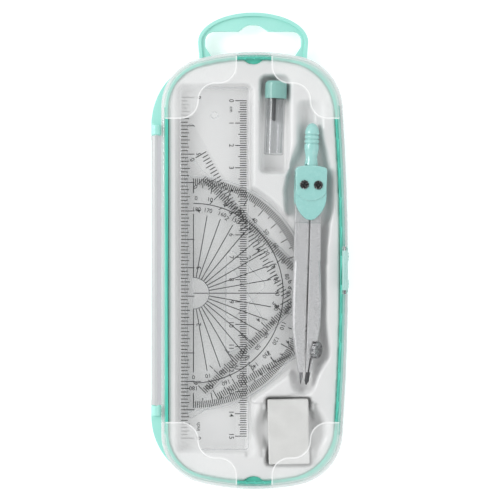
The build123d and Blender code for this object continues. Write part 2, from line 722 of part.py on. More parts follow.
def leg_blank(side, outer):
    """A leg with its geared eye, in the compass's frame: side is -1 for left and 1 for right."""
    inner = side * LEG_INNER
    edge = [(side * x, y) for x, y in outer]
    body = polygon((inner, -4.4), (side * 1.6, -2.3), (side * 6.4, -0.6), *edge, (inner, LEG_END))
    phase = 0 if side < 0 else 180 / GEAR_TEETH
    pivot = Pos(side * PIVOT_HALF, 0)
    eye = body + pivot * gear_face(phase)
    leg = prism(eye, -EYE_HALF_THICK, EYE_HALF_THICK)
    lower = body & (Pos(0, (THICK_FROM_Y + LEG_END) / 2) * Rectangle(40, THICK_FROM_Y - LEG_END))
    shaft = prism(lower, -LEG_HALF_THICK, LEG_HALF_THICK)
    wedge = Plane.YZ * polygon(
        (FACET_Y, LEG_HALF_THICK), (LEG_END - 1, END_HALF_THICK), (LEG_END - 1, 5), (FACET_Y, 5)
    )
    wedge = extrude(wedge, amount=20, both=True)
    shaft -= wedge
    shaft -= mirror(wedge, Plane.XY)
    for start, end in zip(edge[1:-1], edge[2:]):
        shaft -= edge_bevel(start, end, side)
    leg += shaft
    return leg - pivot * Cylinder(PIVOT_BORE, 20)


def make_needle_leg():
    """Steel leg that holds the needle."""
    leg = leg_blank(-1, NEEDLE_LEG_EDGE)
    socket = rod_y(NEEDLE_RADIUS, NEEDLE_X, 0, (LEG_END - 1, LEG_END + 8))
    return place_compass(leg - socket)


def clamp_frame(solid):
    """From the clamp screw's own frame, whose +X is its axis, to the compass's frame."""
    place = Pos(CLAMP_PLACE[0], CLAMP_PLACE[1], 0)
    return place * Rot(0, 0, CLAMP_TURN) * Rot(0, -CLAMP_TILT, 0) * solid


def lead_place(solid):
    """From a frame with the lead along Y and the jaw's end at its origin."""
    return Pos(JAW_X, LEG_END, 0) * Rot(0, 0, SLIT_TURN) * solid


def make_lead_leg():
    """Steel leg whose end is slit into a clamp for the lead."""
    leg = leg_blank(1, LEAD_LEG_EDGE)
    leg -= lead_place(block((-SLIT / 2, SLIT / 2), (-2, 14.0), (-5, 5)))
    leg -= lead_place(rod_y(COMPASS_LEAD_RADIUS, 0, 0, (-2, 6.5)))
    knob_room = Rot(0, 90, 0) * Cylinder(CLAMP_KNOB[0] + 0.4, 6)
    leg -= clamp_frame(Pos(3, 0, 0) * knob_room)
    bore = Rot(0, 90, 0) * Cylinder(CLAMP_BORE, 6)
    leg -= clamp_frame(Pos(-0.4, 0, 0) * bore)
    return place_compass(leg)


def make_clamp_screw():
    """Thumb screw with a knurled knob, across the slit."""
    radius, length = CLAMP_KNOB
    knob = Cylinder(radius, length)
    knob = chamfer(knob.edges(), 0.35)
    for flute in range(CLAMP_FLUTES):
        groove = Pos(radius + 0.2, 0, 0) * Cylinder(0.42, length + 1)
        knob -= Rot(0, 0, 360 * flute / CLAMP_FLUTES) * groove
    knob = Pos(0.1 + length / 2, 0, 0) * Rot(0, 90, 0) * knob
    end, start = CLAMP_SHANK
    thread = Pos((start + end) / 2, 0, 0) * Rot(0, 90, 0) * Cylinder(CLAMP_THREAD, start - end)
    return place_compass(clamp_frame(knob + thread))


def make_needle():
    """Steel needle with a ground point."""
    needle = turned(
        (
            (0, LEG_END + 8),
            (NEEDLE_RADIUS, LEG_END + 8),
            (NEEDLE_RADIUS, LEG_END - 2.2),
            (0, TIP_Y),
        )
    )
    return place_compass(Pos(NEEDLE_X, 0, 0) * needle)


def make_compass_lead():
    """Graphite lead with a blunt conical point."""
    tip = TIP_Y - LEG_END
    lead = turned(
        (
            (0, 6.3),
            (COMPASS_LEAD_RADIUS, 6.3),
            (COMPASS_LEAD_RADIUS, tip + 1.8),
            (0.2, tip),
            (0, tip),
        )
    )
    return place_compass(lead_place(lead))


def head_face():
    """The head's outline: a shallow arch, straight sides and a blunt chin."""
    shoulder_y = HEAD_TOP_Y - 1.2
    arch = ThreePointArc((-HEAD_HALF, shoulder_y), (0, HEAD_TOP_Y), (HEAD_HALF, shoulder_y))
    side = Line((HEAD_HALF, shoulder_y), (HEAD_HALF, HEAD_WAIST_Y))
    cheek = ThreePointArc((HEAD_HALF, HEAD_WAIST_Y), CHEEK, JAW)
    chin = ThreePointArc(JAW, (0, CHIN_Y), (-JAW[0], JAW[1]))
    cheek_left = ThreePointArc((-JAW[0], JAW[1]), (-CHEEK[0], CHEEK[1]), (-HEAD_HALF, HEAD_WAIST_Y))
    side_left = Line((-HEAD_HALF, HEAD_WAIST_Y), (-HEAD_HALF, shoulder_y))
    face = make_face(arch + side + cheek + chin + cheek_left + side_left)
    return fillet(face.vertices().filter_by(lambda v: v.Y > 5), 1.6)


def make_head_half(front):
    """One half of the head: a cover plate, with a bridge above the legs' eyes."""
    cover = prism(head_face(), COVER_IN, COVER_OUT)
    brim = cover.edges().filter_by(lambda e: e.center().Z > COVER_OUT - 1e-3)
    cover = fillet(brim, 0.7)
    bridge = head_face() & (Pos(0, BRIDGE_Y + 10) * Rectangle(40, 20))
    cover += prism(bridge, 0, COVER_IN + 0.2)
    cover -= rod_y(TENON_RADIUS, 0, 0, (BRIDGE_Y - 1, HEAD_TOP_Y + 1))
    for side in (-1, 1):
        cover -= Pos(side * PIVOT_HALF, 0, 0) * Cylinder(PIVOT_RADIUS, 20)
    if front:
        centre_y, radius, depth = BROW
        hollow = Pos(0, -12) * Rectangle(30, 24) - Pos(0, centre_y) * Circle(radius)
        return place_compass(cover - prism(hollow, COVER_OUT - depth, COVER_OUT + 1))
    return place_compass(mirror(cover, Plane.XY))


def grip_rings():
    """The profile of three plain rings with a groove above each."""
    points = []
    for ring in range(3):
        y = GRIP_RINGS_Y + GRIP_RING_PITCH * ring
        points += [(GRIP_RADIUS, y), (GRIP_RADIUS, y + GRIP_RING_PITCH - 0.8)]
        points += [(GRIP_GROOVE, y + GRIP_RING_PITCH - 0.55)]
        points += [(GRIP_GROOVE, y + GRIP_RING_PITCH - 0.2)]
    return points


def dome():
    """The profile of the grip's end above its rings."""
    start = GRIP_RINGS_Y + 3 * GRIP_RING_PITCH
    points = []
    for step in range(6):
        turn = math.radians(80 * step / 5)
        points.append((GRIP_RADIUS * math.cos(turn), start + (GRIP_TOP_Y - start) * math.sin(turn)))
    return points


def make_grip():
    """Turned grip: a foot on the head, a neck, three rings, a domed end and a tenon."""
    base = HEAD_TOP_Y + 0.05
    grip = turned(
        (
            (0, BRIDGE_Y + 0.3),
            (TENON_RADIUS, BRIDGE_Y + 0.3),
            (TENON_RADIUS, base),
            (GRIP_RADIUS - 0.2, base),
            (GRIP_NECK, base + 3.6),
            (GRIP_RADIUS, GRIP_RINGS_Y - 0.8),
            *grip_rings(),
            *dome(),
            (0, GRIP_TOP_Y),
        )
    )
    return place_compass(grip)


def make_pivot_screw(side):
    """Cross-head screw that a leg turns on."""
    radius, height = SCREW_HEAD
    shank = Cylinder(PIVOT_RADIUS, 2 * COVER_OUT)
    head = Pos(0, 0, COVER_OUT + height / 2) * Cylinder(radius, height)
    head = fillet(head.edges().group_by(Axis.Z)[-1], 0.3)
    cross = Box(2.4, 0.5, 0.6) + Box(0.5, 2.4, 0.6)
    screw = shank + head - Pos(0, 0, COVER_OUT + height) * cross
    return place_compass(Pos(side * PIVOT_HALF, 0, 0) * screw)


PIECES = {
    "case_base": make_base,
    "case_lid": make_lid,
    "latch": make_latch,
    "latch_pin": make_latch_pin,
    "tray": make_tray,
    "ruler": make_ruler,
    "protractor": make_protractor,
    "set_square_60": lambda: make_set_square(
        SQUARE_60_TOP, SQUARE_60_LONG, 30, SQUARE_60_BAND, SQUARE_60_Z
    ),
    "set_square_45": lambda: make_set_square(
        SQUARE_45_TOP, SQUARE_45_LONG, 45, SQUARE_45_BAND, SQUARE_45_Z
    ),
    "eraser": make_eraser,
    "lead_tube": make_lead_tube,
    "lead_tube_cap": make_cap,
    "spare_lead": make_spare_lead,
    "compass_grip": make_grip,
    "compass_head_front": lambda: make_head_half(True),
    "compass_head_back": lambda: make_head_half(False),
    "pivot_screw_left": lambda: make_pivot_screw(-1),
    "pivot_screw_right": lambda: make_pivot_screw(1),
    "needle_leg": make_needle_leg,
    "lead_leg": make_lead_leg,
    "needle": make_needle,
    "compass_lead": make_compass_lead,
    "clamp_screw": make_clamp_screw,
}

for node, make in PIECES.items():
    export_step(make(), f"parts/{node}.step")
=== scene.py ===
import json
import math

import bmesh
import bpy
import numpy as np
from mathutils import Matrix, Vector
from mathutils.bvhtree import BVHTree

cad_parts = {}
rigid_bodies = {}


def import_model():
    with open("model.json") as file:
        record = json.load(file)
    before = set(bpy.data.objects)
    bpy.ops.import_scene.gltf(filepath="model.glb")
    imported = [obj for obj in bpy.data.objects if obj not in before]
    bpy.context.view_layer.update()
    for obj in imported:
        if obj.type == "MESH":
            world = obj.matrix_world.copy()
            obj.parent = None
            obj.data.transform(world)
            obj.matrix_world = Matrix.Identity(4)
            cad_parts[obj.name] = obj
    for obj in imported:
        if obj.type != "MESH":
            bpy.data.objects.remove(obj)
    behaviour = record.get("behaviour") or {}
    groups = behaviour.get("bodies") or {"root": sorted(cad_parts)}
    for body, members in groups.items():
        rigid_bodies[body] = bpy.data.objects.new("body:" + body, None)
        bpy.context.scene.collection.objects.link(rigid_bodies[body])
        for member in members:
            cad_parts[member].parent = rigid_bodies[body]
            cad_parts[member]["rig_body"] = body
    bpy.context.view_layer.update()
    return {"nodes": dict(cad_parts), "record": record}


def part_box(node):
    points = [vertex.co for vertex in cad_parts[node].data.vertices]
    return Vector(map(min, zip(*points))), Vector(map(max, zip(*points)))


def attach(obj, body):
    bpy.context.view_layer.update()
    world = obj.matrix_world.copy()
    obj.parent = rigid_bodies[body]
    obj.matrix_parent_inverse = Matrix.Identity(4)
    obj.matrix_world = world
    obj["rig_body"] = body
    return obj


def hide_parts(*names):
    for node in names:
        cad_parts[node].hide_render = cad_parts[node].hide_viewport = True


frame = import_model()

MM = 0.001
SLOTS = {part["node"]: part["material_slot"] for part in frame["record"]["subparts"]}


# ---------------------------------------------------------------- materials
def new_material(name, **sockets):
    """A node material with one Principled shader and its sockets set."""
    material = bpy.data.materials.new(name)
    material.use_nodes = True
    shader = material.node_tree.nodes["Principled BSDF"]
    for socket, value in sockets.items():
        shader.inputs[socket.replace("_", " ")].default_value = value
    return material, material.node_tree, shader


def noise(tree, scale, detail=3.0, rough=0.55, stretch=(1, 1, 1)):
    """Noise over the object's own coordinates, in features per metre."""
    place = tree.nodes.new("ShaderNodeTexCoord")
    mapping = tree.nodes.new("ShaderNodeMapping")
    mapping.inputs["Scale"].default_value = stretch
    node = tree.nodes.new("ShaderNodeTexNoise")
    node.inputs["Scale"].default_value = scale
    node.inputs["Detail"].default_value = detail
    node.inputs["Roughness"].default_value = rough
    tree.links.new(place.outputs["Object"], mapping.inputs["Vector"])
    tree.links.new(mapping.outputs["Vector"], node.inputs["Vector"])
    return node.outputs["Fac"]


def spread(tree, value, low, high, start=0.3, end=0.7):
    """A value between start and end turned into one between low and high."""
    node = tree.nodes.new("ShaderNodeMapRange")
    node.inputs["From Min"].default_value = start
    node.inputs["From Max"].default_value = end
    node.inputs["To Min"].default_value = low
    node.inputs["To Max"].default_value = high
    tree.links.new(value, node.inputs["Value"])
    return node.outputs["Result"]


def blend_colour(tree, value, first, second):
    """Two colours mixed by a value from 0 to 1."""
    node = tree.nodes.new("ShaderNodeMix")
    node.data_type = "RGBA"
    node.inputs["A"].default_value = (*first, 1)
    node.inputs["B"].default_value = (*second, 1)
    tree.links.new(value, node.inputs["Factor"])
    return node.outputs["Result"]


def bump(tree, height, depth_mm):
    """A bump from a height of 0 to 1."""
    node = tree.nodes.new("ShaderNodeBump")
    node.inputs["Strength"].default_value = 1.0
    node.inputs["Distance"].default_value = depth_mm * MM
    tree.links.new(height, node.inputs["Height"])
    return node.outputs["Normal"]


def maths(tree, operation, *terms, clamp=False):
    """A sum of sockets and numbers, worked out by one node."""
    node = tree.nodes.new("ShaderNodeMath")
    node.operation = operation
    node.use_clamp = clamp
    for term, socket in zip(terms, node.inputs):
        if isinstance(term, bpy.types.NodeSocket):
            tree.links.new(term, socket)
        else:
            socket.default_value = term
    return node.outputs["Value"]


def layered(tree, amount, under, over):
    """Two shaders, the second over the first by an amount from 0 to 1."""
    node = tree.nodes.new("ShaderNodeMixShader")
    tree.links.new(amount, node.inputs["Fac"])
    tree.links.new(under, node.inputs[1])
    tree.links.new(over, node.inputs[2])
    return node.outputs["Shader"]


def plastic(name, low, high, rough=(0.28, 0.4), grain=0.01, patch=60, fine=4000, **sockets):
    """Moulded plastic: slow colour drift, uneven gloss and a fine grain."""
    material, tree, shader = new_material(name, **sockets)
    drift = spread(tree, noise(tree, patch), 0, 1)
    tree.links.new(blend_colour(tree, drift, low, high), shader.inputs["Base Color"])
    gloss = spread(tree, noise(tree, patch * 6, 5), *rough)
    tree.links.new(gloss, shader.inputs["Roughness"])
    normal = bump(tree, noise(tree, fine, 2), grain)
    tree.links.new(normal, shader.inputs["Normal"])
    return material


def cast_metal(name, low, high, speckle, depth, rough, metallic, grain=(0.36, 0.64)):
    """Die-cast metal: bright speckles on grey and a pebbled surface.

    grain is where in the noise the speckles start and are full.
    """
    material, tree, shader = new_material(name, Metallic=metallic)
    grains = noise(tree, speckle, 4, 0.75)
    tone = spread(tree, grains, 0, 1, *grain)
    tree.links.new(blend_colour(tree, tone, low, high), shader.inputs["Base Color"])
    tree.links.new(spread(tree, noise(tree, speckle / 3, 3), *rough), shader.inputs["Roughness"])
    tree.links.new(bump(tree, grains, depth), shader.inputs["Normal"])
    return material


def drawn_metal(name, low, high, stretch, rough=(0.2, 0.4), depth=0.01):
    """Turned or drawn metal: fine streaks in one direction."""
    material, tree, shader = new_material(name, Metallic=1.0)
    streaks = noise(tree, 900, 4, 0.6, stretch)
    tone = spread(tree, streaks, 0, 1)
    tree.links.new(blend_colour(tree, tone, low, high), shader.inputs["Base Color"])
    tree.links.new(spread(tree, streaks, *rough), shader.inputs["Roughness"])
    tree.links.new(bump(tree, streaks, depth), shader.inputs["Normal"])
    return material


PLASTIC_IOR = 1.5
STEEPNESS = 2.5  # how late the painted milky sheen comes in as the surface turns away


def clear_plastic(name, tint, milk, milk_colour, edge=0.5, rough=0.06, haze=0.05, patch=90):
    """Clear plastic: see-through where faced, glossy where it turns away, and milky there as a painted
    sheen.

    The haze is the uneven part of the milk, as scuffs and moulding streaks.
    """
    material = bpy.data.materials.new(name)
    material.use_nodes = True
    tree = material.node_tree
    tree.nodes.clear()
    out = tree.nodes.new("ShaderNodeOutputMaterial")
    through = tree.nodes.new("ShaderNodeBsdfTransparent")
    through.inputs["Color"].default_value = (*tint, 1)
    body = tree.nodes.new("ShaderNodeBsdfPrincipled")
    body.inputs["Base Color"].default_value = (*milk_colour, 1)
    body.inputs["Roughness"].default_value = rough
    body.inputs["IOR"].default_value = PLASTIC_IOR
    scuffs = noise(tree, patch, 4, 0.6, (1, 0.25, 1))
    cloud = spread(tree, scuffs, milk - haze, milk + haze)
    # The milk grows as the surface turns from view: a painted sheen over the real haze.
    facing = tree.nodes.new("ShaderNodeLayerWeight")
    facing.inputs["Blend"].default_value = 0.35
    steep = maths(tree, "POWER", facing.outputs["Facing"], STEEPNESS)
    rim = maths(tree, "MULTIPLY_ADD", steep, edge, cloud, clamp=True)
    tree.links.new(bump(tree, scuffs, 0.004), body.inputs["Normal"])
    milky = layered(tree, rim, through.outputs["BSDF"], body.outputs["BSDF"])
    shine = tree.nodes.new("ShaderNodeBsdfGlossy")
    shine.inputs["Roughness"].default_value = rough
    fresnel = tree.nodes.new("ShaderNodeFresnel")
    fresnel.inputs["IOR"].default_value = PLASTIC_IOR
    side = tree.nodes.new("ShaderNodeNewGeometry")
    outward = maths(tree, "MULTIPLY_ADD", side.outputs["Backfacing"], -1.0, 1.0)
    shiny = maths(tree, "MULTIPLY", fresnel.outputs["Fac"], outward)
    tree.links.new(layered(tree, shiny, milky, shine.outputs["BSDF"]), out.inputs["Surface"])
    return material


def toned_by_height(name, low, high, pocket_painted_low, pocket_painted_high, z_low, z_high):
    """Formed sheet that is a little lighter in its pockets than on its deck: painted light in the pockets.
    """
    material, tree, shader = new_material(name, Coat_Weight=0.1)
    drift = spread(tree, noise(tree, 60), 0, 1)
    deck = blend_colour(tree, drift, low, high)
    pocket = blend_colour(tree, drift, pocket_painted_low, pocket_painted_high)
    place = tree.nodes.new("ShaderNodeTexCoord")
    split = tree.nodes.new("ShaderNodeSeparateXYZ")
    tree.links.new(place.outputs["Object"], split.inputs["Vector"])
    depth = spread(tree, split.outputs["Z"], 0, 1, z_low * MM, z_high * MM)
    # Low in the pockets the lighter colour comes in: painted light.
    tone = tree.nodes.new("ShaderNodeMix")
    tone.data_type = "RGBA"
    tree.links.new(depth, tone.inputs["Factor"])
    tree.links.new(pocket, tone.inputs["A"])
    tree.links.new(deck, tone.inputs["B"])
    tree.links.new(tone.outputs["Result"], shader.inputs["Base Color"])
    tree.links.new(spread(tree, noise(tree, 360, 5), 0.3, 0.45), shader.inputs["Roughness"])
    tree.links.new(bump(tree, noise(tree, 4000, 2), 0.01), shader.inputs["Normal"])
    return material


mint_light = plastic("mint_light", (0.31, 0.67, 0.60), (0.35, 0.71, 0.63), Coat_Weight=0.2)
# A deeper mint for faces inside the case: painted shade, with the tint of light bounced between mint walls.
mint_painted_shade = plastic("mint_painted_shade", (0.055, 0.50, 0.38), (0.08, 0.55, 0.43), Coat_Weight=0.1)
# A darker mint for the step inside the handle's rim: painted shade.
mint_rim_step_shade = plastic("mint_rim_step_shade", (0.14, 0.62, 0.50), (0.17, 0.66, 0.54))
mint_head = plastic(
    "mint_head", (0.27, 0.56, 0.53), (0.32, 0.60, 0.57), rough=(0.2, 0.32), Coat_Weight=0.4
)
mint_cap = plastic("mint_cap", (0.17, 0.38, 0.35), (0.20, 0.42, 0.38), Coat_Weight=0.3)
mint_latch = plastic("mint_latch", (0.29, 0.53, 0.49), (0.33, 0.57, 0.53))
mint_pad = plastic("mint_pad", (0.16, 0.47, 0.43), (0.19, 0.51, 0.46))
TRAY_DECK = ((0.64, 0.642, 0.645), (0.67, 0.67, 0.67))
# Pocket colours, a little lighter than the deck: painted light.
TRAY_POCKET_PAINTED_LIGHT = ((0.66, 0.662, 0.665), (0.69, 0.69, 0.69))
tray_skin_and_pocket_light = toned_by_height("tray_skin_and_pocket_light", *TRAY_DECK, *TRAY_POCKET_PAINTED_LIGHT, 2.6, 8.6)
eraser_skin = plastic(
    "eraser_skin", (0.53, 0.53, 0.52), (0.60, 0.60, 0.59), rough=(0.6, 0.8), grain=0.05, patch=120, fine=2500
)
legs_cast = cast_metal("legs_cast", (0.29, 0.29, 0.30), (0.72, 0.72, 0.73), 3000, 0.035, (0.45, 0.55), 0.5)
steel = drawn_metal("steel", (0.16, 0.16, 0.17), (0.34, 0.34, 0.35), (1, 0.05, 1))
# Near-black screw metal whose sparse bright specks are painted glints.
screw_dark_painted_glints = cast_metal(
    "screw_dark_painted_glints", (0.006, 0.006, 0.006), (0.85, 0.85, 0.86), 1400, 0.1, (0.15, 0.35), 0.9, grain=(0.52, 0.62)
)
screw_black = drawn_metal("screw_black", (0.008, 0.008, 0.008), (0.03, 0.03, 0.03), (1, 1, 1))
screw_bright = cast_metal(
    "screw_bright", (0.06, 0.06, 0.065), (0.45, 0.45, 0.46), 1100, 0.1, (0.15, 0.35), 0.9
)
graphite = cast_metal("graphite", (0.012, 0.012, 0.014), (0.05, 0.05, 0.055), 3000, 0.02, (0.4, 0.6), 0.3)
ink = plastic("ink", (0.006, 0.006, 0.007), (0.018, 0.018, 0.018), rough=(0.5, 0.7), grain=0.001)
lid_clear = clear_plastic("lid_clear", (0.99, 0.993, 0.993), 0.012, (0.85, 0.87, 0.87), edge=0.6, haze=0.008)
lid_frost = clear_plastic(
    "lid_frost", (0.98, 0.99, 0.99), 0.36, (0.74, 0.745, 0.745), edge=0.3, rough=0.45, haze=0.008, patch=2400
)
# Bright white milk on the frosted fields' ribs: a painted highlight along their polished step.
lid_rib_painted_highlight = clear_plastic("lid_rib_painted_highlight", (1, 1, 1), 0.68, (0.88, 0.89, 0.89), edge=0.3, rough=0.2)
# Grey milk on the lid's foot and walls: painted shade for the dark line that the clear walls draw.
lid_foot_painted_shade = clear_plastic("lid_foot_painted_shade", (0.95, 0.95, 0.96), 0.84, (0.62, 0.60, 0.61), edge=0.2, rough=0.3)
lid_wall_painted_shade = clear_plastic("lid_wall_painted_shade", (0.97, 0.97, 0.98), 0.18, (0.56, 0.54, 0.57), edge=0.8)
lid_barrel = clear_plastic("lid_barrel", (0.97, 0.97, 0.97), 0.8, (0.50, 0.50, 0.51), edge=0.2, rough=0.3)
lid_web = clear_plastic("lid_web", (0.93, 0.92, 0.94), 0.8, (0.47, 0.46, 0.49), edge=0.2, rough=0.2)
acrylic = clear_plastic("acrylic", (0.994, 0.995, 0.995), 0.004, (0.50, 0.52, 0.53), edge=0.85, haze=0.003)
# Milky grey on the plates' rounded edges: a painted edge glow.
acrylic_painted_edge_glow = clear_plastic("acrylic_painted_edge_glow", (0.92, 0.93, 0.93), 0.4, (0.52, 0.54, 0.55), edge=0.5)
tube_plastic = clear_plastic("tube_plastic", (0.93, 0.935, 0.94), 0.04, (0.22, 0.23, 0.235), edge=0.9)


# ---------------------------------------------------------------- shape helpers
def add_piece(name, mesh, body):
    """A mesh as a piece that rides on a body."""
    piece = bpy.data.objects.new(name, mesh)
    bpy.context.scene.collection.objects.link(piece)
    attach(piece, body)
    return piece


RING_LEVELS = (8.4, 8.6, 10.2)
BEVEL_STEPS = 3


def lies_on_rings(edge):
    """Whether an edge lies in one of the case's ring-shaped faces, which stay in triangles."""
    heights = [v.co.z / MM for v in edge.verts]
    return any(all(abs(z - level) < 0.01 for z in heights) for level in RING_LEVELS)


def whole_mesh(node, cuts=()):
    """A copy of a CAD node's mesh with joined corners, whole flat faces and extra cuts."""
    shape = bmesh.new()
    shape.from_mesh(frame["nodes"][node].data)
    bmesh.ops.remove_doubles(shape, verts=shape.verts, dist=0.002 * MM)
    flat = math.radians(0.3)
    loose = [e for e in shape.edges if not lies_on_rings(e)]
    bmesh.ops.dissolve_limit(shape, angle_limit=flat, verts=shape.verts, edges=loose)
    for point, normal in cuts:
        everything = shape.verts[:] + shape.edges[:] + shape.faces[:]
        place = Vector(point) * MM
        bmesh.ops.bisect_plane(shape, geom=everything, plane_co=place, plane_no=normal, dist=1e-7)
    mesh = bpy.data.meshes.new(node + "_mesh")
    shape.to_mesh(mesh)
    shape.free()
    return mesh


SLIVER = math.radians(30)  # rounding an edge at a sharper corner than this throws a spike


def mark_soft_edges(mesh, sharp):
    """Marks the sharp edges that are to be rounded, but for those at a sliver's corner."""
    shape = bmesh.new()
    shape.from_mesh(mesh)
    weight = shape.edges.layers.float.new("bevel_weight_edge")  # a new layer drops the edges held before it
    soft = {e for e in shape.edges if len(e.link_faces) == 2 and e.calc_face_angle(0) > sharp}
    for face in shape.faces:
        for corner in face.loops:
            if corner.calc_angle() < SLIVER:
                soft -= {corner.edge, corner.link_loop_prev.edge}
    for edge in shape.edges:
        edge[weight] = float(edge in soft)
    shape.to_mesh(mesh)
    shape.free()


def dress(node, name, materials, edge=0.0, edge_material=-1, pick=None, cuts=(), sharp=32):
    """Stands a softened, shaded copy in for a CAD node.

    edge is the width of the rounding on its sharp edges, edge_material the rounding's own material,
    and pick chooses a face's material from its centre in millimetres and its normal.
    """
    mesh = whole_mesh(node, cuts)
    for material in materials:
        mesh.materials.append(material)
    for face in mesh.polygons:
        face.use_smooth = True
        if pick:
            face.material_index = pick(face.center / MM, face.normal)
    if edge:
        mark_soft_edges(mesh, math.radians(sharp))
    mesh.set_sharp_from_angle(angle=math.radians(sharp))
    piece = add_piece(name, mesh, frame["nodes"][node]["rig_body"])
    if edge:
        round_off = piece.modifiers.new("rounded edges", "BEVEL")
        round_off.width = edge * MM
        round_off.segments = BEVEL_STEPS
        round_off.material = edge_material
        round_off.limit_method = "WEIGHT"
        round_off.use_clamp_overlap = False
    even = piece.modifiers.new("even shading", "WEIGHTED_NORMAL")
    even.keep_sharp = True
    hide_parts(node)
    return piece


def let_light_through(piece):
    """Clear plastic hardly shades what lies under it, so it casts no shadow."""
    piece.visible_shadow = False
    piece.visible_diffuse = False


# ---------------------------------------------------------------- case
PART_Z = 8.45  # where the base's lip starts
FLOOR_Z = 1.5
FLOOR_TOP = 2.0  # over the floor and under everything else that faces up
HANDLE_Y = 97.5  # beyond this lies the handle
# Heights of the handle rim's step that takes the painted shade.
HANDLE_STEP_SHADE_Z = (6.9, 7.75)
WING_X = -41.0  # left of this lies the hinge wing


def base_zone(centre, normal):
    """0 light mint outside the lid, 1 a deeper mint under it as painted shade, 2 a painted shade line on the
    step inside the handle's rim.
    """
    if centre.y > HANDLE_Y:
        # The rim's upright step takes the painted shade line.
        return 2 if abs(normal.z) < 0.5 and HANDLE_STEP_SHADE_Z[0] < centre.z < HANDLE_STEP_SHADE_Z[1] else 0
    if centre.x < WING_X or centre.y < -HANDLE_Y:
        return 0
    # Faces under the lid, on the floor and on the inward walls take the deeper mint: painted shade.
    under = centre.z > PART_Z or (normal.z > 0.5 and centre.z < FLOOR_TOP)
    return 1 if under or abs(normal.z) < 0.5 and centre.z > FLOOR_Z and inward(centre, normal) else 0


def inward(centre, normal):
    """Whether an upright face looks towards the middle of the case."""
    return centre.x * normal.x + centre.y * normal.y < 0


dress("case_base", "case_shell", [mint_light, mint_painted_shade, mint_rim_step_shade], edge=0.25, pick=base_zone)

FROST_Y = 67.0  # the frosted corners start here along the case
FROST_X = 7.6  # and here across it
LID_TOP = 18.0
FROST_STEP = 0.1  # how far the frosted fields stand over the lid's top
RIB_STEP = 0.2  # how far their ribs do
BARREL = (-41.6, 61.0)  # right side and half length of the hinge barrel
WEB_X = -43.0
LID_FOOT_Z = 9.0
LID_WALL = (39.7, 70.0)  # beyond this across or along lie the lid's walls
LID_MATERIALS = [lid_clear, lid_frost, lid_rib_painted_highlight, lid_foot_painted_shade, lid_wall_painted_shade, lid_barrel, lid_web]


def lid_zone(centre, normal):
    """Index into LID_MATERIALS for a face of the lid."""
    # The ribs' tops take the painted highlight.
    if centre.z > LID_TOP + RIB_STEP:
        return 2
    if centre.z > LID_TOP + FROST_STEP:
        return 1
    if centre.x < BARREL[0] and abs(centre.y) < BARREL[1]:
        return 6 if normal.z > 0.9 and centre.x > WEB_X else 5
    # The foot and the upright walls take grey milk: painted shade.
    if normal.z < -0.9 and centre.z < LID_FOOT_Z:
        return 3
    outer = abs(centre.x) > LID_WALL[0] or abs(centre.y) > LID_WALL[1]
    if not outer or abs(normal.z) > 0.98 or centre.z > LID_TOP:
        return 0
    if abs(normal.z) < 0.3:
        return 4
    return 1 if abs(centre.y) > FROST_Y and abs(centre.x) > FROST_X else 0


lid_cuts = [((0, side * FROST_Y, 0), (0, 1, 0)) for side in (-1, 1)]
lid_cuts += [((side * FROST_X, 0, 0), (1, 0, 0)) for side in (-1, 1)]
lid = dress("case_lid", "lid_shell", LID_MATERIALS, pick=lid_zone, cuts=lid_cuts)
let_light_through(lid)


LATCH_PAD_X = 41.75


def latch_zone(centre, normal):
    """0 the plate, 1 the ribbed pads."""
    return 1 if centre.x > LATCH_PAD_X else 0


dress("latch", "latch_flap", [mint_latch, mint_pad], edge=0.2, pick=latch_zone)
dress("latch_pin", "latch_rod", [steel])


NOTCH_PAD = (-0.3, 94.1, 5.2)  # middle across the case, outer edge along it, radius
NOTCH_PAD_Z = (7.0, 8.2)
NOTCH_PAD_DEPTH = 0.66  # of its radius
NOTCH_PAD_STEPS = 24


def make_notch_pads():
    """The base's raised pad that shows in the thumb notch at each end of the tray."""
    x, y, radius = NOTCH_PAD
    points, faces = [], []
    for end in (-1, 1):
        first = len(points)
        ring = [math.pi * step / NOTCH_PAD_STEPS for step in range(NOTCH_PAD_STEPS + 1)]
        count = len(ring)
        for z in NOTCH_PAD_Z:
            for a in ring:
                depth = y - NOTCH_PAD_DEPTH * radius * math.sin(a)
                points.append((x + radius * math.cos(a), end * depth, z))
        low = list(range(first, first + count))
        high = list(range(first + count, first + 2 * count))
        sides = [(low[i], low[(i + 1) % count], high[(i + 1) % count], high[i]) for i in range(count)]
        wound = [tuple(low[::-1]), tuple(high)] + sides
        faces += wound if end < 0 else [face[::-1] for face in wound]
    mesh = bpy.data.meshes.new("notch_pads_mesh")
    mesh.from_pydata([Vector(p) * MM for p in points], [], faces)
    # The pads take the deeper mint, which is painted shade.
    mesh.materials.append(mint_painted_shade)
    return add_piece("notch_pads", mesh, frame["nodes"]["case_base"]["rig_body"])


make_notch_pads()

# ---------------------------------------------------------------- tray
TRAY_STEP = 0.56  # spacing of the sheet's points
TRAY_FINE = 0.28  # spacing of the heights that they are taken from
TRAY_SHEET = 0.75
TRAY_FOOT = 1.6
TRAY_DECK_Z = 9.0
TRAY_EDGE = 0.38  # the share of cover at which the sheet ends
TRAY_SHOULDER = 0.45  # how far its edge drops
WALL_SOFT, WALL_GENTLE, WALL_SLOPE, COVER_SOFT = 0.55, 1.1, 2.0, 0.45  # blurs in millimetres
NO_TRAY = -6.0
ERASER = (15.3, -71.2)


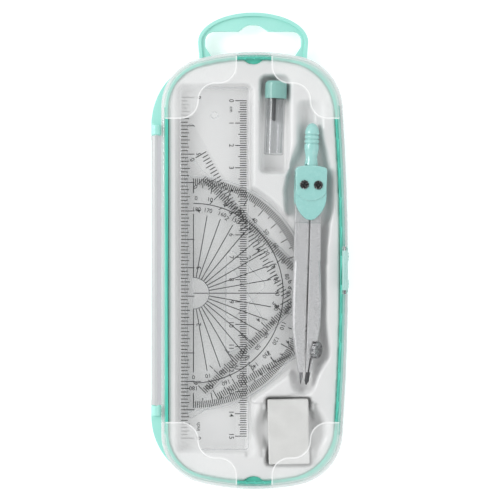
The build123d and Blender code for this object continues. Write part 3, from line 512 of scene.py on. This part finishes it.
def blurred(grid, sigma):
    """A grid smoothed along both axes."""
    reach = max(1, int(3 * sigma + 0.5))
    weights = np.exp(-0.5 * (np.arange(-reach, reach + 1) / sigma) ** 2)
    weights /= weights.sum()
    for axis in (0, 1):
        pad = [(reach, reach) if i == axis else (0, 0) for i in (0, 1)]
        wide = np.pad(grid, pad, mode="edge")
        size = grid.shape[axis]
        parts = [w * np.take(wide, range(i, i + size), axis) for i, w in enumerate(weights)]
        grid = sum(parts)
    return grid


def tray_heights():
    """The tray's top as seen from above: x, y and height grids in millimetres."""
    source = frame["nodes"]["tray"].data
    points = [v.co / MM for v in source.vertices]
    tree = BVHTree.FromPolygons(points, [tuple(p.vertices) for p in source.polygons])
    low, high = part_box("tray")
    xs = np.arange(low.x / MM - 1.2, high.x / MM + 1.2, TRAY_FINE)
    ys = np.arange(low.y / MM - 1.2, high.y / MM + 1.2, TRAY_FINE)
    heights = np.zeros((len(ys), len(xs)))
    down = Vector((0, 0, -1))
    for j, y in enumerate(ys):
        for i, x in enumerate(xs):
            hit = tree.ray_cast(Vector((x, y, 40)), down)
            heights[j, i] = hit[0].z if hit[0] else NO_TRAY
    return xs, ys, heights


def compass_weight(x, y):
    """1 round the compass, whose pocket has gentler walls."""
    return np.clip((x - 15.0) / 2.0, 0, 1) * (y > -56)


def scallop_weight(x, y):
    """1 in the finger rooms at the eraser's sides, where the pocket slopes up outwards."""
    aside = np.clip((np.abs(x - ERASER[0]) - 10.3) / 1.2, 0, 1)
    near = (np.abs(x - ERASER[0]) < 19) & (np.abs(y - ERASER[1]) < 12)
    return aside * near


def edge_shift(cover, keep):
    """Moves the outermost grid points on to the sheet's true edge."""
    rise_y, rise_x = np.gradient(cover, TRAY_STEP)
    steep = rise_x**2 + rise_y**2 + 1e-6
    lost = ~np.pad(keep, 1)
    rows, cols = keep.shape
    border = np.zeros_like(keep)
    for j in range(3):
        for i in range(3):
            border |= lost[j : j + rows, i : i + cols]
    border &= keep
    reach = np.clip((cover - TRAY_EDGE) / steep, 0, 6) * border
    dx, dy = -reach * rise_x, -reach * rise_y
    size = np.hypot(dx, dy) + 1e-9
    limit = np.minimum(1, TRAY_STEP / size)
    return dx * limit, dy * limit


def add_skirt(mesh, foot_z):
    """A wall straight down from the mesh's open edge, in three steps that round its top."""
    shape = bmesh.new()
    shape.from_mesh(mesh)
    top = np.median([v.co.z for v in shape.verts if v.is_boundary]) / MM
    for z in (top - 0.5, top - 1.4, foot_z):
        rim = [e for e in shape.edges if e.is_boundary]
        made = bmesh.ops.extrude_edge_only(shape, edges=rim)["geom"]
        for part in made:
            if isinstance(part, bmesh.types.BMVert):
                part.co.z = z * MM
    shape.to_mesh(mesh)
    shape.free()


def make_tray(sheet):
    """The formed tray as one draped sheet with rounded shoulders and pockets."""
    xs, ys, heights = tray_heights()
    inside = heights > 0
    deck = np.where(inside, heights, TRAY_DECK_Z)
    soft = blurred(deck, WALL_SOFT / TRAY_FINE)
    slope = blurred(deck, WALL_SLOPE / TRAY_FINE)
    gentle = blurred(deck, WALL_GENTLE / TRAY_FINE)
    x, y = np.meshgrid(xs, ys)
    soft = soft + (gentle - soft) * compass_weight(x, y)
    soft = soft + (slope - soft) * scallop_weight(x, y)
    cover = blurred(inside.astype(float), COVER_SOFT / TRAY_FINE)
    fall = np.clip((cover - TRAY_EDGE) / 0.55, 0, 1)
    drop = soft - TRAY_SHOULDER * (1 - fall) ** 2
    step = int(round(TRAY_STEP / TRAY_FINE))
    xs, ys = xs[::step], ys[::step]
    drop, cover = drop[::step, ::step], cover[::step, ::step]
    keep = cover > TRAY_EDGE
    index = -np.ones(keep.shape, int)
    index[keep] = np.arange(keep.sum())
    dx, dy = edge_shift(cover, keep)
    spots = [tuple(c) for c in np.argwhere(keep)]
    points = [((xs[i] + dx[j, i]) * MM, (ys[j] + dy[j, i]) * MM, drop[j, i] * MM) for j, i in spots]
    corners = np.stack([index[:-1, :-1], index[:-1, 1:], index[1:, 1:], index[1:, :-1]], -1)
    faces = [tuple(int(v) for v in c) for c in corners.reshape(-1, 4) if (c >= 0).all()]
    mesh = bpy.data.meshes.new("tray_mesh")
    mesh.from_pydata(points, [], faces)
    add_skirt(mesh, TRAY_FOOT + sheet)
    mesh.shade_smooth()
    mesh.materials.append(tray_skin_and_pocket_light)
    return mesh


tray = add_piece("tray_form", make_tray(TRAY_SHEET), "tray")
thick = tray.modifiers.new("sheet", "SOLIDIFY")
thick.thickness = TRAY_SHEET * MM
thick.offset = -1
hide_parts("tray")


# ---------------------------------------------------------------- printed scales
INK_DEPTH = 0.02
INK_GAP = 0.035  # between a plate's underside and its print
LETTER_SIZE = 1.38  # the font size whose figures stand one unit high
LETTER_WEIGHT = 0.018
letter_cache = {}


def letter_mesh(text):
    """Vertices and faces of a word one unit high, centred on its origin."""
    if text not in letter_cache:
        curve = bpy.data.curves.new("word", "FONT")
        curve.body = text
        curve.size = LETTER_SIZE
        curve.align_x = "CENTER"
        curve.align_y = "CENTER"
        curve.resolution_u = 3
        curve.extrude = 0.5
        curve.offset = LETTER_WEIGHT
        word = bpy.data.objects.new("word", curve)
        bpy.context.scene.collection.objects.link(word)
        bpy.context.view_layer.update()
        mesh = bpy.data.meshes.new_from_object(word)
        points = np.array([v.co for v in mesh.vertices])
        points[:, 1] -= (points[:, 1].max() + points[:, 1].min()) / 2
        letter_cache[text] = (points, [tuple(p.vertices) for p in mesh.polygons])
        bpy.data.objects.remove(word)
        bpy.data.meshes.remove(mesh)
        bpy.data.curves.remove(curve)
    return letter_cache[text]


class Print:
    """Ink on one instrument, in millimetres on a plane."""

    def __init__(self, z):
        self.z = z
        self.points = []
        self.faces = []

    def add(self, points, faces):
        start = len(self.points)
        self.points += [tuple(p) for p in points]
        self.faces += [tuple(start + v for v in face) for face in faces]

    def stroke(self, start, end, width):
        """A straight line of ink."""
        a, b = np.array(start, float), np.array(end, float)
        along = (b - a) / np.linalg.norm(b - a)
        side = np.array((-along[1], along[0])) * width / 2
        ring = [a - side, b - side, b + side, a + side]
        low, high = self.z, self.z + INK_DEPTH
        points = [(*p, low) for p in ring] + [(*p, high) for p in ring]
        faces = [(3, 2, 1, 0), (4, 5, 6, 7)]
        faces += [(i, (i + 1) % 4, (i + 1) % 4 + 4, i + 4) for i in range(4)]
        self.add(points, faces)

    def arc(self, centre, radius, start, end, width, steps=60):
        """A circular line of ink, with angles clockwise from +Y in degrees."""
        points = []
        for step in range(steps + 1):
            turn = math.radians(start + (end - start) * step / steps)
            direction = (math.sin(turn), math.cos(turn))
            for reach in (radius - width / 2, radius + width / 2):
                x = centre[0] + reach * direction[0]
                y = centre[1] + reach * direction[1]
                points += [(x, y, self.z), (x, y, self.z + INK_DEPTH)]
        faces = []
        for step in range(steps):
            a, b = 4 * step, 4 * step + 4
            faces += [(a, a + 2, b + 2, b), (a + 1, b + 1, b + 3, a + 3)]
            faces += [(a, b, b + 1, a + 1), (a + 2, a + 3, b + 3, b + 2)]
        faces += [(0, 1, 3, 2), (4 * steps, 4 * steps + 2, 4 * steps + 3, 4 * steps + 1)]
        self.add(points, faces)

    def word(self, text, place, turn, height):
        """A word centred on a place and turned anticlockwise by degrees."""
        points, faces = letter_mesh(text)
        c, s = math.cos(math.radians(turn)), math.sin(math.radians(turn))
        x, y, z = points[:, 0] * height, points[:, 1] * height, points[:, 2]
        across, along = place[0] + c * x - s * y, place[1] + s * x + c * y
        self.add(np.stack([across, along, self.z + (z + 0.5) * INK_DEPTH], 1), faces)

    def piece(self, name, body, slot_name):
        """All the ink as one piece that rides on a body."""
        mesh = bpy.data.meshes.new(name + "_mesh")
        mesh.from_pydata([Vector(p) * MM for p in self.points], [], self.faces)
        mesh.materials.append(ink)
        return add_piece(name, mesh, body)


def print_level(node):
    """The height of the print under a plate."""
    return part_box(node)[0].z / MM - INK_GAP


TICK = 0.4
BASE_LINE = 0.42
DIGIT = 2.1
DEGREE_DIGIT = 1.9
INCH = 25.4
RULER_ZEROS = (75.8, -75.1)  # where the centimetres and the inches start
DEGREE_ROWS = (42.6, 37.6)  # radius of the two rows of numbers
ARC_LINES = (40.2, 7.0)
RAY_START = 6.7


def ruler_print():
    """Centimetres along the right edge, inches along the left edge."""
    ink_on = Print(print_level("ruler"))
    low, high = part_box("ruler")
    right, left = high.x / MM - 0.9, low.x / MM + 0.4
    zero, inch_zero = RULER_ZEROS
    for tick in range(151):
        length = 5.1 if tick % 10 == 0 else 3.7 if tick % 5 == 0 else 3.0
        y = zero - tick
        ink_on.stroke((right, y), (right - length, y), TICK)
        if tick % 10 == 0:
            ink_on.word(str(tick // 10), (right - length - 1.65, y), -90, DIGIT)
    ink_on.word("cm", (right - 7.0, zero - 3.9), -90, 1.6)
    for tick in range(97):
        length = 6.0 if tick % 8 == 0 else 4.0 if tick % 4 == 0 else 3.6 if tick % 2 == 0 else 3.0
        y = inch_zero + tick * INCH / 16
        ink_on.stroke((left, y), (left + length, y), TICK)
        if tick % 16 == 0:
            ink_on.word(str(tick // 16), (left + length + 1.9, y), 90, DIGIT)
    ink_on.word("inch", (left + 7.6, inch_zero + 5.2), 90, 1.7)
    return ink_on.piece("ruler_print", "ruler", SLOTS["ruler"])


def protractor_print():
    """Degree ticks, two rows of numbers, radial lines and the base line."""
    ink_on = Print(print_level("protractor"))
    low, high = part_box("protractor")
    radius = (high.y - low.y) / MM / 2
    centre = (high.x / MM - radius, (high.y + low.y) / MM / 2)

    def at(turn, reach):
        a = math.radians(turn)
        return (centre[0] + reach * math.sin(a), centre[1] + reach * math.cos(a))

    rim = radius - 1.2
    for turn in range(181):
        length = 6.2 if turn % 10 == 0 else 4.2 if turn % 5 == 0 else 3.0
        ink_on.stroke(at(turn, rim), at(turn, rim - length), TICK)
    for turn in range(10, 180, 10):
        end = 37.4 if turn == 90 else 35.3
        ink_on.stroke(at(turn, RAY_START), at(turn, end), TICK)
    outer, inner = DEGREE_ROWS
    for turn in range(0, 181, 10):
        ink_on.word(str(turn), at(turn + (1.6 if turn == 0 else 0), outer), -turn, DEGREE_DIGIT)
        ink_on.word(str(180 - turn), at(turn + (2.2 if turn == 0 else 0), inner), -turn, DEGREE_DIGIT)
    for reach in ARC_LINES:
        ink_on.arc(centre, reach, 0, 180, TICK)
    for start, end in ((35.5, RAY_START), (rim, 44.8)):
        for turn in (0, 180):
            ink_on.stroke(at(turn, start), at(turn, end), BASE_LINE)
    ink_on.stroke(centre, at(90, RAY_START), TICK)
    return ink_on.piece("protractor_print", "protractor", SLOTS["protractor"])


def leg_scale(ink_on, start, end, inside, first, pitch, marks, lengths, every):
    """A scale along one edge of a set square."""
    a, b = np.array(start, float), np.array(end, float)
    along = (b - a) / np.linalg.norm(b - a)
    inward = np.array((-along[1], along[0]))
    if inward @ (np.array(inside) - a) < 0:
        inward = -inward
    turn = math.degrees(math.atan2(-inward[0], inward[1])) + 180
    for tick in range(marks + 1):
        length = next(size for step, size in lengths if tick % step == 0)
        base = a + along * (first + pitch * tick) + inward * 1.1
        ink_on.stroke(base, base + inward * length, TICK)
        if tick % every == 0:
            spot = base + inward * (length + 1.7)
            ink_on.word(str(tick // every), spot, turn, DIGIT)


ruler_print()
protractor_print()

SQUARES = {  # top corner, longest side and the angle at the top
    "set_square_60": ((-30.2, 70.6), 138.3, 30),
    "set_square_45": ((-31.2, 53.4), 120.0, 45),
}


def set_square_print(node, name, upper_scale, lower_scale):
    """Scales along the two short edges of a set square."""
    top, long_side, angle = SQUARES[node]
    turn = math.radians(angle)
    upper = long_side * math.cos(turn)
    corner = (top[0] + upper * math.sin(turn), top[1] - upper * math.cos(turn))
    bottom = (top[0], top[1] - long_side)
    inside = (top[0] + 10, corner[1])
    ink_on = Print(print_level(node))
    leg_scale(ink_on, top, corner, inside, *upper_scale)
    leg_scale(ink_on, bottom, corner, inside, *lower_scale)
    return ink_on.piece(name, node, SLOTS[node])


INCH_MARKS = ((16, 5.6), (8, 5.0), (4, 3.9), (2, 3.4), (1, 2.8))
CM_MARKS = ((10, 5.1), (5, 3.7), (1, 2.9))
set_square_print(
    "set_square_60",
    "set_square_60_print",
    (19.4, INCH / 16, 58, INCH_MARKS, 16),
    (17.0, 1.0, 45, CM_MARKS, 10),
)
set_square_print(
    "set_square_45",
    "set_square_45_print",
    (14.8, 1.0, 62, CM_MARKS, 10),
    (14.8, 1.0, 62, CM_MARKS, 10),
)

# ---------------------------------------------------------------- instruments
PLATES = {
    "ruler": "ruler_bar",
    "protractor": "protractor_plate",
    "set_square_45": "set_square_45_plate",
    "set_square_60": "set_square_60_plate",
}
for node, name in PLATES.items():
    # The rounded edges take the painted edge glow.
    let_light_through(dress(node, name, [acrylic, acrylic_painted_edge_glow], edge=0.3, edge_material=1))
dress("eraser", "eraser_block", [eraser_skin])
let_light_through(dress("lead_tube", "tube_shell", [tube_plastic]))
dress("lead_tube_cap", "tube_cap_shell", [mint_cap], edge=0.08)
dress("spare_lead", "spare_lead_stick", [graphite])
dress("compass_head_front", "head_cover_front", [mint_head], edge=0.35)
dress("compass_head_back", "head_cover_back", [mint_head], edge=0.2)
dress("compass_grip", "grip_turned", [mint_head], sharp=50)
for side in ("left", "right"):
    screw = [screw_dark_painted_glints, screw_black]
    dress("pivot_screw_" + side, "screw_" + side, screw, edge=0.3, edge_material=1)
dress("needle_leg", "leg_for_needle", [legs_cast], edge=0.25)
dress("lead_leg", "leg_for_lead", [legs_cast], edge=0.25)
dress("needle", "needle_point", [steel])
dress("compass_lead", "lead_point", [graphite])
dress("clamp_screw", "clamp_knob", [screw_bright], edge=0.06)

# ---------------------------------------------------------------- floor, light and camera
CAMERA = Vector((-1.875, 9.04, 1008.7)) * MM
LENS = 161.3
OVERHEAD = (0.84, 0.93)  # sine of the height at which the dim patch starts and is full
ROOM, PATCH = 1.12, 0.12  # strength of the white room and of the dim patch
FLOOR_HALF = 4  # metres


def make_floor():
    """A plain white sheet under the case."""
    mesh = bpy.data.meshes.new("floor_mesh")
    corners = [(x * FLOOR_HALF, y * FLOOR_HALF, 0) for x, y in ((-1, -1), (1, -1), (1, 1), (-1, 1))]
    mesh.from_pydata(corners, [], [(0, 1, 2, 3)])
    material, tree, shader = new_material("floor_paper", Roughness=0.9, Emission_Strength=0.3)
    shader.inputs["Emission Color"].default_value = (1, 1, 1, 1)
    tone = spread(tree, noise(tree, 8), 0, 1)
    colour = blend_colour(tree, tone, (0.90, 0.90, 0.90), (0.92, 0.92, 0.92))
    tree.links.new(colour, shader.inputs["Base Color"])
    mesh.materials.append(material)
    floor = bpy.data.objects.new("floor", mesh)
    bpy.context.scene.collection.objects.link(floor)


def make_light(name, place, size, watts):
    """A round soft light that faces the origin."""
    lamp = bpy.data.lights.new(name, "AREA")
    lamp.shape = "DISK"
    lamp.size = size
    lamp.energy = watts
    holder = bpy.data.objects.new(name, lamp)
    holder.location = place
    holder.rotation_euler = (-Vector(place)).to_track_quat("-Z", "Y").to_euler()
    bpy.context.scene.collection.objects.link(holder)


def make_world(strength, overhead):
    """A white room with a dim patch straight above, so that flat faces don't glare."""
    world = bpy.data.worlds.new("studio")
    world.use_nodes = True
    tree = world.node_tree
    sky = tree.nodes["Background"]
    sky.inputs["Color"].default_value = (1, 1, 1, 1)
    place = tree.nodes.new("ShaderNodeTexCoord")
    split = tree.nodes.new("ShaderNodeSeparateXYZ")
    tree.links.new(place.outputs["Generated"], split.inputs["Vector"])
    height = spread(tree, split.outputs["Z"], strength, overhead, *OVERHEAD)
    tree.links.new(height, sky.inputs["Strength"])
    bpy.context.scene.world = world


def make_camera():
    """A long lens straight over the case."""
    lens = bpy.data.cameras.new("camera")
    lens.lens = LENS
    lens.sensor_width = 36
    lens.clip_start = 0.01
    camera = bpy.data.objects.new("camera", lens)
    camera.location = CAMERA
    bpy.context.scene.collection.objects.link(camera)
    bpy.context.scene.camera = camera


make_floor()
make_world(ROOM, PATCH)
make_light("key", (-0.95, 0.3, 0.75), 0.5, 7.0)
make_light("fill", (0.6, -0.4, 1.0), 0.8, 2.0)
make_camera()

scene = bpy.context.scene
scene.view_settings.view_transform = "Standard"
scene.cycles.max_bounces = 16
scene.cycles.transparent_max_bounces = 48
